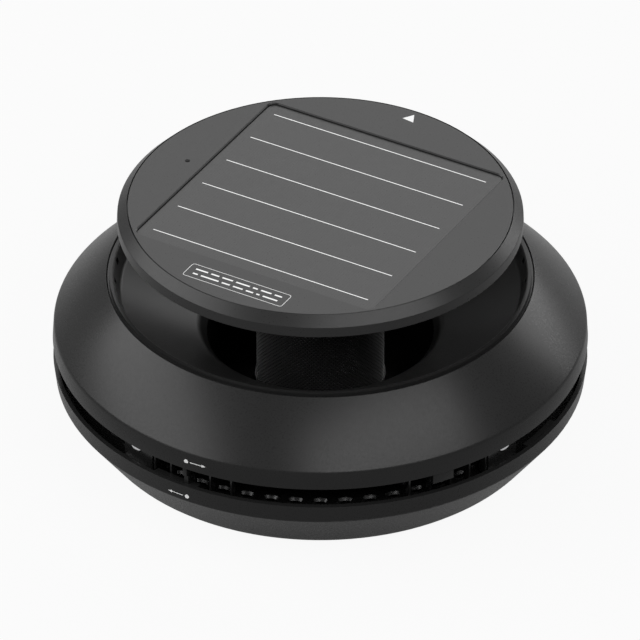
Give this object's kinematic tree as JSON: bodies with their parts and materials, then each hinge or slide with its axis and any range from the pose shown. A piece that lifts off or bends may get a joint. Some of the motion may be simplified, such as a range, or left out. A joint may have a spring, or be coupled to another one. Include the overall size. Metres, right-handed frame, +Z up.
{
  "type": "solar ventilator",
  "caption": "Round free-standing solar ventilator: flat panel cap on a screened tower in a dish-shaped housing, twist-locked to a bowl-shaped base with a vent gap.",
  "frame": {"origin": "centre of the circle of feet, on the ground", "axes": "+Z up along the fan axis, -Y towards the front, where the twist-lock marks are a little to the left"},
  "size_m": [0.2946, 0.2946, 0.14],
  "materials": {
    "housing_abs": "fine matte texture",
    "cap_abs": "satin",
    "inner_abs": "smooth black",
    "panel_laminate": "satin epoxy face",
    "busbar_ink": "white",
    "screen_steel": "black coated",
    "soft_rubber": "matte",
    "screw_steel": "zinc plated",
    "motor_steel": "drawn",
    "ferrite": "sintered",
    "bronze": "sintered",
    "copper_winding": "enamelled wire",
    "cell_sleeve": "shrink sleeve",
    "nickel_tab": "plated",
    "board_laminate": "solder mask",
    "component_resin": "moulded",
    "led_lens": "smoked",
    "lead_jacket": "satin",
    "plug_nylon": "moulded"
  },
  "bodies": {
    "base": {"base_bowl": "housing_abs", "rubber_foot_1": "soft_rubber", "rubber_foot_2": "soft_rubber", "rubber_foot_3": "soft_rubber", "rubber_foot_4": "soft_rubber", "vent_ring": "inner_abs", "vent_ring_screws": "screw_steel", "intake_grille": "inner_abs", "duct_gasket": "soft_rubber"},
    "upper": {"battery_cell_a": "cell_sleeve", "battery_cell_b": "cell_sleeve", "battery_contacts": "nickel_tab", "battery_holder_a": "inner_abs", "battery_holder_b": "inner_abs", "battery_lead": "lead_jacket", "board_components": "component_resin", "board_screws": "screw_steel", "busbars": "busbar_ink", "button_switch": "component_resin", "cap_pan": "cap_abs", "cap_screws": "screw_steel", "cap_top": "cap_abs", "charge_board": "board_laminate", "dish": "inner_abs", "duct_screws": "screw_steel", "fan_duct": "inner_abs", "guard_screws": "screw_steel", "lead_grommet": "soft_rubber", "lead_plug": "plug_nylon", "mesh_foot_ring": "inner_abs", "mesh_screen": "screen_steel", "motor_bearings": "bronze", "motor_can": "motor_steel", "motor_cup": "inner_abs", "motor_end_cap": "inner_abs", "motor_lead": "lead_jacket", "motor_magnets": "ferrite", "motor_mount": "inner_abs", "pan_screws": "screw_steel", "panel_glue": "soft_rubber", "ring_cover": "housing_abs", "service_pan": "inner_abs", "solar_panel": "panel_laminate", "status_led": "led_lens", "switch_board": "board_laminate", "tower_flange": "inner_abs", "tower_foot": "inner_abs", "tower_foot_screws": "screw_steel", "tower_posts": "inner_abs", "tower_top_screws": "screw_steel", "vent_guard_back_left": "housing_abs", "vent_guard_back_right": "housing_abs", "vent_guard_front_left": "housing_abs", "vent_guard_front_right": "housing_abs"},
    "rotor": {"motor_shaft": "motor_steel", "armature": "copper_winding", "commutator": "copper_winding", "impeller": "inner_abs", "impeller_clip": "screw_steel"},
    "button": {"power_button": "inner_abs"}
  },
  "joints": [
    {"name": "twist_lock", "type": "hinge", "parent": "base", "child": "upper", "pos_m": [0, 0, 0.04], "axis": [0, 0, 1], "range_deg": [0, 12]},
    {"name": "fan_spin", "type": "hinge", "parent": "upper", "child": "rotor", "pos_m": [0, 0, 0.04], "axis": [0, 0, 1], "continuous": true},
    {"name": "power_button_press", "type": "slide", "parent": "upper", "child": "button", "axis": [0, 0, 1], "range_m": [0, 0.0015], "stiffness_N_per_m": 600, "springref_m": -0.002}
  ]
}
